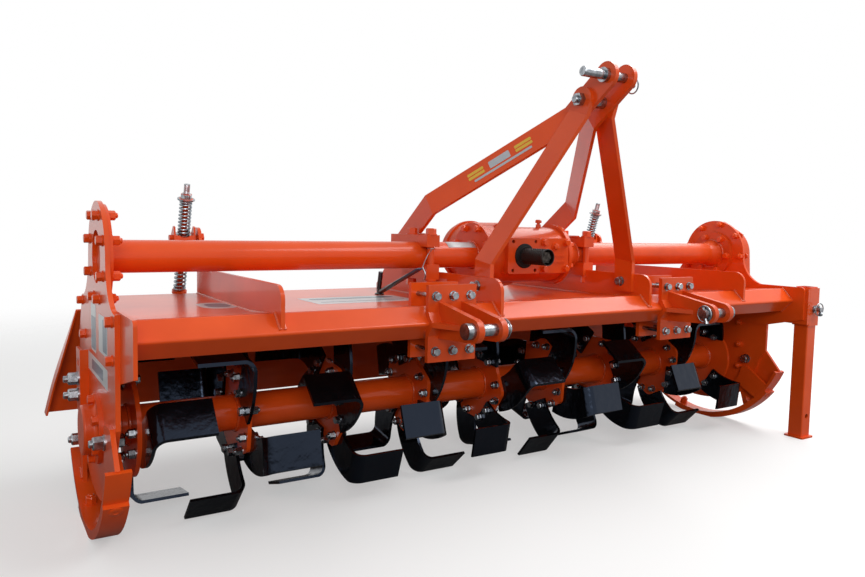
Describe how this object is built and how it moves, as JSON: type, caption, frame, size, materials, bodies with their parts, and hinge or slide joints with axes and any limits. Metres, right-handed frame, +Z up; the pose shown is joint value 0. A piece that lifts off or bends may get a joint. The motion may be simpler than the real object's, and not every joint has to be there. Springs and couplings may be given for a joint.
{
  "type": "rotary tiller",
  "caption": "tractor-mounted rotary tiller with a tined rotor, side gear case, three-point mast, sprung trailing board, skids and a parking stand",
  "frame": {"origin": "midway between the two lower hitch pins, on their common axis", "axes": "+X to the machine's left (gear case and stand side) along the rotor, -Y forward to the tractor, +Z up; the floor it parks on is at Z -0.48 m"},
  "size_m": [2.353, 0.9688, 1.1339],
  "materials": {
    "orange_paint": "gloss",
    "orange_cast": "gloss",
    "tine_paint": "gloss",
    "zinc_plate": "satin",
    "dark_steel": "satin",
    "net_sleeve": "satin",
    "seal_rubber": "matte",
    "black_rod": "gloss"
  },
  "bodies": {
    "frame": {"support_plate": "orange_paint", "drive_plate": "orange_paint", "gear_case": "orange_cast", "bearing_housing": "orange_cast", "hood_deck": "orange_paint", "hood_end_support": "orange_paint", "hood_end_drive": "orange_paint", "front_beam": "orange_paint", "ribs": "orange_paint", "hinge_pins": "zinc_plate", "axle_tube_support": "orange_paint", "axle_tube_drive": "orange_cast", "gearbox": "orange_cast", "pto_seal": "seal_rubber", "clevis_right": "orange_cast", "clevis_left": "orange_cast", "clevis_clamps": "orange_paint", "lower_pins": "zinc_plate", "mast_brace_right": "orange_paint", "mast_brace_left": "orange_paint", "mast_bar_right": "orange_paint", "mast_bar_left": "orange_paint", "top_pin": "zinc_plate", "mast_bolt": "zinc_plate", "tube_clamps_upper": "orange_cast", "tube_clamps_lower": "orange_cast", "skid_support": "orange_paint", "skid_drive": "orange_paint", "stand_sleeve": "orange_paint", "stand_pin": "zinc_plate", "rest_hook": "black_rod"},
    "rotor": {"rotor_tube": "orange_paint", "rotor_shafts": "orange_paint", "rotor_flanges": "orange_paint", "end_discs": "orange_paint", "tines_left": "tine_paint", "tines_right": "tine_paint"},
    "input": {"pto_shaft": "dark_steel", "pto_sleeve": "net_sleeve"},
    "stand": {"stand_leg": "orange_paint"},
    "board": {"trailing_board": "orange_paint"},
    "rod_right": {"spring_rod_right": "zinc_plate", "lower_spring_right": "zinc_plate"},
    "rod_left": {"spring_rod_left": "zinc_plate", "lower_spring_left": "zinc_plate"},
    "pivot_right": {"yoke_right": "orange_paint", "upper_spring_right": "zinc_plate"},
    "pivot_left": {"yoke_left": "orange_paint", "upper_spring_left": "zinc_plate"}
  },
  "joints": [
    {"name": "rotor_turn", "type": "hinge", "parent": "frame", "child": "rotor", "pos_m": [0, 0.452, -0.24], "axis": [1, 0, 0], "continuous": true},
    {"name": "input_turn", "type": "hinge", "parent": "frame", "child": "input", "pos_m": [0, 0.32, 0.15], "axis": [0, 1, 0], "continuous": true},
    {"name": "stand_slide", "type": "slide", "parent": "frame", "child": "stand", "axis": [0, 0, 1], "range_m": [0, 0.377]},
    {"name": "board_lift", "type": "hinge", "parent": "frame", "child": "board", "pos_m": [0, 0.814, -0.002], "axis": [1, 0, 0], "range_deg": [0, 30], "deforming": ["lower_spring_right", "lower_spring_left"]},
    {"name": "rod_right_eye", "type": "hinge", "parent": "board", "child": "rod_right", "pos_m": [-0.886, 0.887, -0.08], "axis": [1, 0, 0], "range_deg": [-20.4, 0.2]},
    {"name": "rod_left_eye", "type": "hinge", "parent": "board", "child": "rod_left", "pos_m": [0.709, 0.887, -0.08], "axis": [1, 0, 0], "range_deg": [-20.4, 0.2]},
    {"name": "yoke_right_pivot", "type": "hinge", "parent": "frame", "child": "pivot_right", "pos_m": [-0.886, 0.806, 0.186], "axis": [1, 0, 0], "range_deg": [-0.2, 9.9]},
    {"name": "yoke_left_pivot", "type": "hinge", "parent": "frame", "child": "pivot_left", "pos_m": [0.709, 0.806, 0.186], "axis": [1, 0, 0], "range_deg": [-0.2, 9.9]}
  ],
  "couplings": [
    {"joint": "input_turn", "follows": "rotor_turn", "ratio": -2.5},
    {"joint": "rod_right_eye", "follows": "board_lift", "ratio": -0.6745},
    {"joint": "rod_left_eye", "follows": "board_lift", "ratio": -0.6745},
    {"joint": "yoke_right_pivot", "follows": "board_lift", "ratio": 0.3255},
    {"joint": "yoke_left_pivot", "follows": "board_lift", "ratio": 0.3255}
  ]
}
